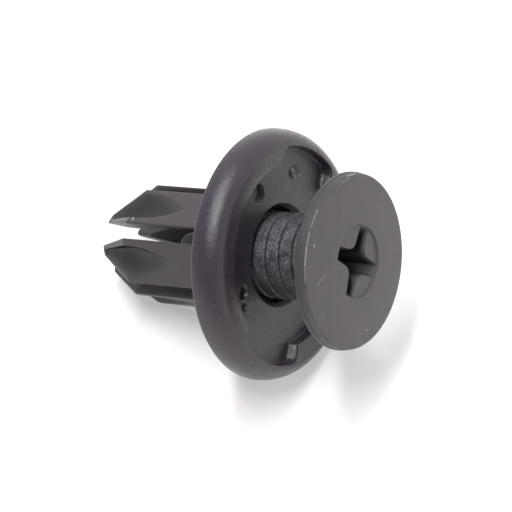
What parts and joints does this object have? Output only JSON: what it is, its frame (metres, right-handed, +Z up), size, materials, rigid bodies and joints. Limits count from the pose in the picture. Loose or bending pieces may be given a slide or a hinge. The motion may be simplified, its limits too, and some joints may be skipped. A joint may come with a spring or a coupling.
{
  "type": "screw rivet",
  "caption": "Black plastic screw rivet with a dished round flange, slotted expanding legs and a cross-recessed screw partly backed out.",
  "frame": {"origin": "centre of the part's bounding box, at the surface it lies on", "axes": "the part lies on its flange's rim and one leg; the shared axis lies in the XZ plane, tipped up towards +X, where the screw's head is; +Z up"},
  "size_m": [0.0222, 0.018, 0.0168],
  "materials": {
    "socket_nylon": "as-moulded black nylon with a soft sheen",
    "screw_nylon": "as-moulded black nylon, slightly duller and lightly scuffed"
  },
  "bodies": {
    "socket": {"socket": "socket_nylon"},
    "screw": {"screw": "screw_nylon"}
  },
  "joints": [
    {"name": "screw_travel", "type": "slide", "parent": "socket", "child": "screw", "axis": [0.8937, 0, 0.4486], "range_m": [-0.0051, 0.0016]}
  ]
}
